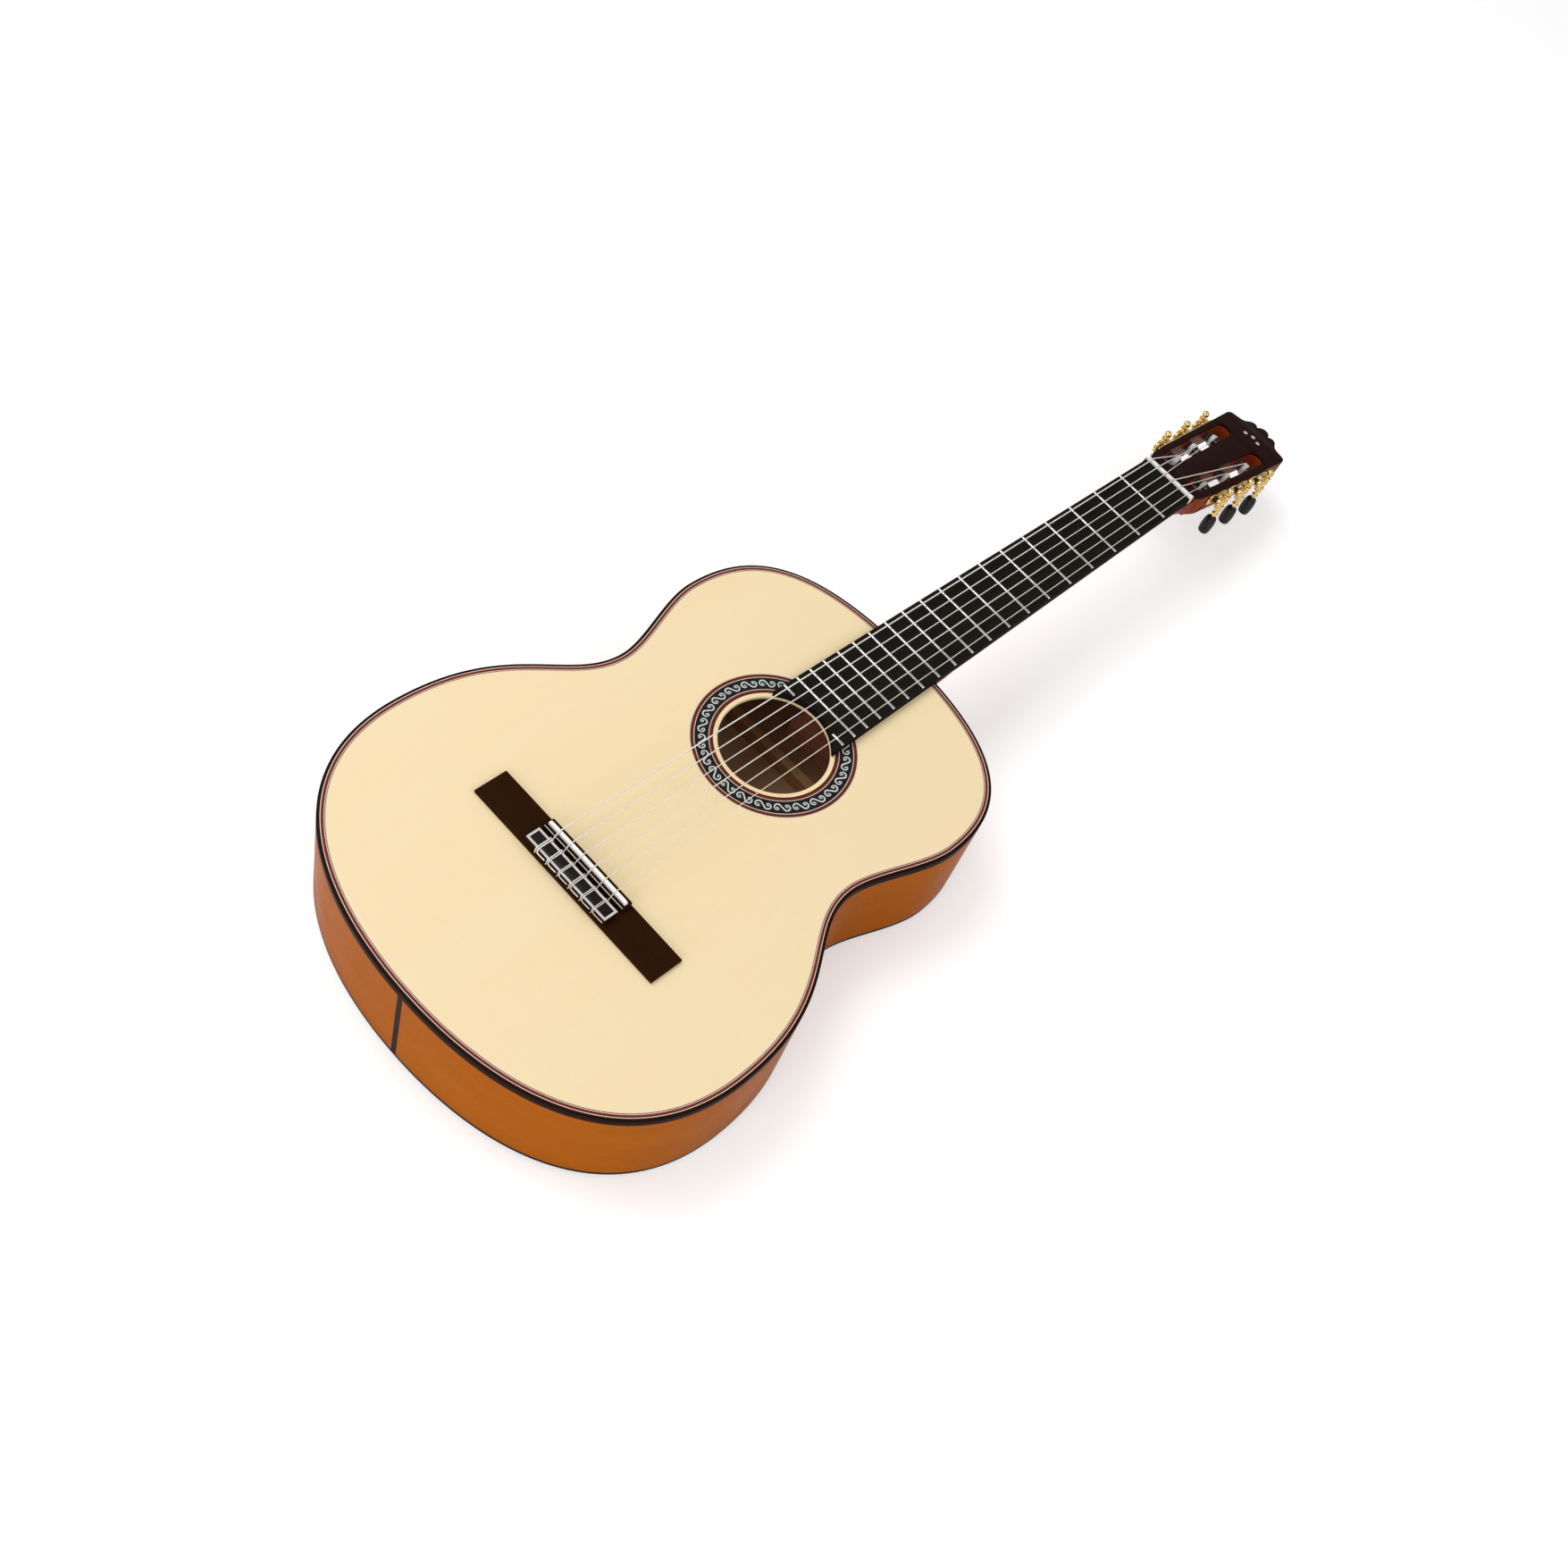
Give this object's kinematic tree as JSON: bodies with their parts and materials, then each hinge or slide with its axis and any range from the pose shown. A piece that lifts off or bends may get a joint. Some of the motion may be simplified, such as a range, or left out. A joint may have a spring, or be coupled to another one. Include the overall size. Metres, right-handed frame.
{
  "type": "classical guitar",
  "caption": "Classical nylon-string guitar lying on its back: hollow wooden body, slotted head with geared tuning machines, strung from tie bridge to rollers.",
  "frame": {"origin": "on the flat of the back, on the centre line, halfway along the body", "axes": "+Z out of the soundboard, +Y along the neck towards the head, +X towards the treble side"},
  "size_m": [0.367, 0.984, 0.1052],
  "materials": {
    "spruce": "gloss",
    "mosaic": "gloss",
    "cypress": "gloss",
    "ebony": "satin",
    "rosewood": "satin",
    "mahogany": "gloss",
    "cedar": "matt",
    "bone": "satin",
    "gold": "polished",
    "button_ebony": "satin",
    "roller_plastic": "gloss",
    "silver": "polished",
    "nylon": "clear gloss"
  },
  "bodies": {
    "guitar": {"back_brace_1": "cedar", "back_brace_2": "cedar", "back_brace_3": "cedar", "back_plate": "cypress", "binding_back": "ebony", "binding_top": "ebony", "bridge": "rosewood", "end_graft": "ebony", "fan_brace_1": "spruce", "fan_brace_2": "spruce", "fan_brace_3": "spruce", "fan_brace_4": "spruce", "fan_brace_5": "spruce", "fingerboard": "ebony", "harmonic_bar_lower": "cedar", "harmonic_bar_upper": "cedar", "headplate": "rosewood", "heel_block": "mahogany", "lining_back": "cedar", "lining_top": "cedar", "neck": "mahogany", "nut": "bone", "rosette": "mosaic", "saddle": "bone", "side_bass": "cypress", "side_treble": "cypress", "soundboard": "spruce", "string_1": "nylon", "string_2": "nylon", "string_3": "nylon", "string_4": "silver", "string_5": "silver", "string_6": "silver", "tail_block": "mahogany", "tuner_plate_bass": "gold", "tuner_plate_treble": "gold"},
    "button_1": {"worm_shaft_1": "gold", "tuner_button_1": "button_ebony"},
    "roller_1": {"string_roller_1": "roller_plastic", "worm_gear_1": "gold"},
    "button_2": {"worm_shaft_2": "gold", "tuner_button_2": "button_ebony"},
    "roller_2": {"string_roller_2": "roller_plastic", "worm_gear_2": "gold"},
    "button_3": {"worm_shaft_3": "gold", "tuner_button_3": "button_ebony"},
    "roller_3": {"string_roller_3": "roller_plastic", "worm_gear_3": "gold"},
    "button_4": {"worm_shaft_4": "gold", "tuner_button_4": "button_ebony"},
    "roller_4": {"string_roller_4": "roller_plastic", "worm_gear_4": "gold"},
    "button_5": {"worm_shaft_5": "gold", "tuner_button_5": "button_ebony"},
    "roller_5": {"string_roller_5": "roller_plastic", "worm_gear_5": "gold"},
    "button_6": {"worm_shaft_6": "gold", "tuner_button_6": "button_ebony"},
    "roller_6": {"string_roller_6": "roller_plastic", "worm_gear_6": "gold"}
  },
  "joints": [
    {"name": "button_turn_1", "type": "hinge", "parent": "guitar", "child": "button_1", "pos_m": [0.03784, 0.61687, 0.07804], "axis": [0, 0.2079, 0.9781], "continuous": true},
    {"name": "roller_turn_1", "type": "hinge", "parent": "guitar", "child": "roller_1", "pos_m": [0.03759, 0.60934, 0.07964], "axis": [0.9995, -0.0323, 0.0069], "continuous": true},
    {"name": "button_turn_2", "type": "hinge", "parent": "guitar", "child": "button_2", "pos_m": [0.039, 0.65109, 0.07076], "axis": [0, 0.2079, 0.9781], "continuous": true},
    {"name": "roller_turn_2", "type": "hinge", "parent": "guitar", "child": "roller_2", "pos_m": [0.03875, 0.64356, 0.07236], "axis": [0.9995, -0.0323, 0.0069], "continuous": true},
    {"name": "button_turn_3", "type": "hinge", "parent": "guitar", "child": "button_3", "pos_m": [0.04016, 0.6853, 0.06349], "axis": [0, 0.2079, 0.9781], "continuous": true},
    {"name": "roller_turn_3", "type": "hinge", "parent": "guitar", "child": "roller_3", "pos_m": [0.0399, 0.67778, 0.06509], "axis": [0.9995, -0.0323, 0.0069], "continuous": true},
    {"name": "button_turn_4", "type": "hinge", "parent": "guitar", "child": "button_4", "pos_m": [-0.04016, 0.6853, 0.06349], "axis": [0, 0.2079, 0.9781], "continuous": true},
    {"name": "roller_turn_4", "type": "hinge", "parent": "guitar", "child": "roller_4", "pos_m": [-0.0399, 0.67778, 0.06509], "axis": [0.9995, 0.0323, -0.0069], "continuous": true},
    {"name": "button_turn_5", "type": "hinge", "parent": "guitar", "child": "button_5", "pos_m": [-0.039, 0.65109, 0.07076], "axis": [0, 0.2079, 0.9781], "continuous": true},
    {"name": "roller_turn_5", "type": "hinge", "parent": "guitar", "child": "roller_5", "pos_m": [-0.03875, 0.64356, 0.07236], "axis": [0.9995, 0.0323, -0.0069], "continuous": true},
    {"name": "button_turn_6", "type": "hinge", "parent": "guitar", "child": "button_6", "pos_m": [-0.03784, 0.61687, 0.07804], "axis": [0, 0.2079, 0.9781], "continuous": true},
    {"name": "roller_turn_6", "type": "hinge", "parent": "guitar", "child": "roller_6", "pos_m": [-0.03759, 0.60934, 0.07964], "axis": [0.9995, 0.0323, -0.0069], "continuous": true}
  ],
  "couplings": [
    {"joint": "roller_turn_1", "follows": "button_turn_1", "ratio": -0.071429},
    {"joint": "roller_turn_2", "follows": "button_turn_2", "ratio": -0.071429},
    {"joint": "roller_turn_3", "follows": "button_turn_3", "ratio": -0.071429},
    {"joint": "roller_turn_4", "follows": "button_turn_4", "ratio": 0.071429},
    {"joint": "roller_turn_5", "follows": "button_turn_5", "ratio": 0.071429},
    {"joint": "roller_turn_6", "follows": "button_turn_6", "ratio": 0.071429}
  ]
}
